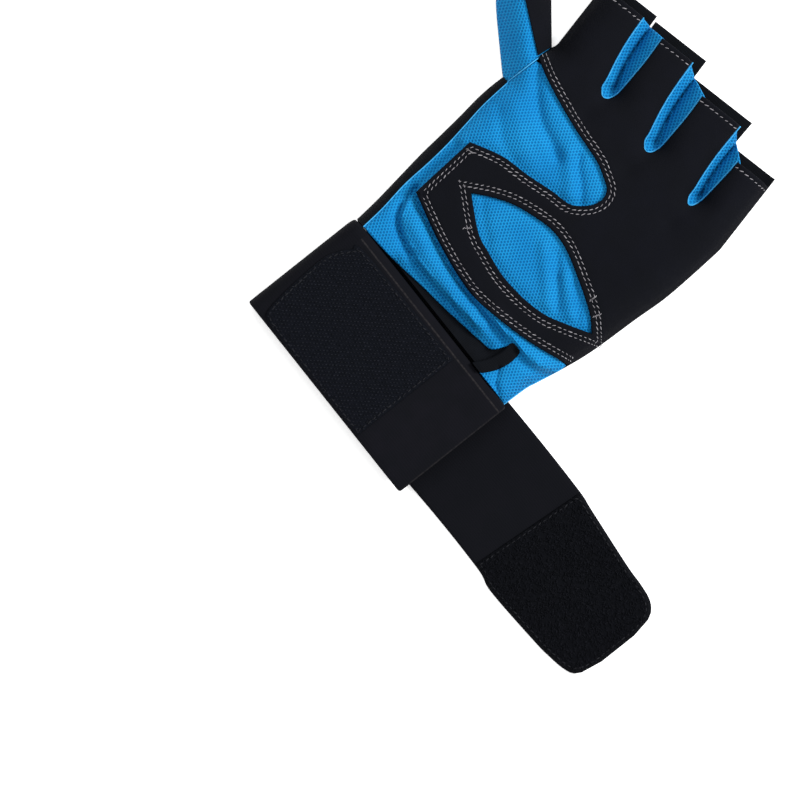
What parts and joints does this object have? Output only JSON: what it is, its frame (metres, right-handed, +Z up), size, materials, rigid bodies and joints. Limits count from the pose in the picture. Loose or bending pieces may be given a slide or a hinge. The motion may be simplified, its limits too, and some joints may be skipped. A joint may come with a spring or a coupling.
{
  "type": "weightlifting glove",
  "caption": "Open-finger weightlifting glove for the left hand, lying palm up, with a suede palm over mesh, a stretch back and a wide elastic wrist strap with hook and loop tape.",
  "frame": {"origin": "under the middle of the wrist band, on the surface that the glove lies on", "axes": "+Y towards the fingers, +X towards the little finger and the strap's tail, +Z up out of the palm"},
  "size_m": [0.2239, 0.1931, 0.0165],
  "materials": {
    "elastic_webbing": "ribbed black elastic webbing",
    "loop_tape": "dense navy-black loop pile",
    "hook_tape": "rough black hook pile",
    "stretch_cloth": "smooth black stretch knit",
    "blue_mesh": "bright blue dotted mesh knit",
    "suede": "matt black synthetic suede with grey double stitching"
  },
  "bodies": {
    "root": {"wrist_strap": "elastic_webbing", "loop_patch": "loop_tape", "hook_patch": "hook_tape", "cuff": "stretch_cloth", "back_panel": "stretch_cloth", "palm_mesh": "blue_mesh", "palm_suede": "suede", "thumb_mesh": "blue_mesh", "thumb_suede": "suede", "fourchette_index_middle": "blue_mesh", "fourchette_middle_ring": "blue_mesh", "fourchette_ring_little": "blue_mesh", "slit_binding": "stretch_cloth"}
  },
  "joints": []
}
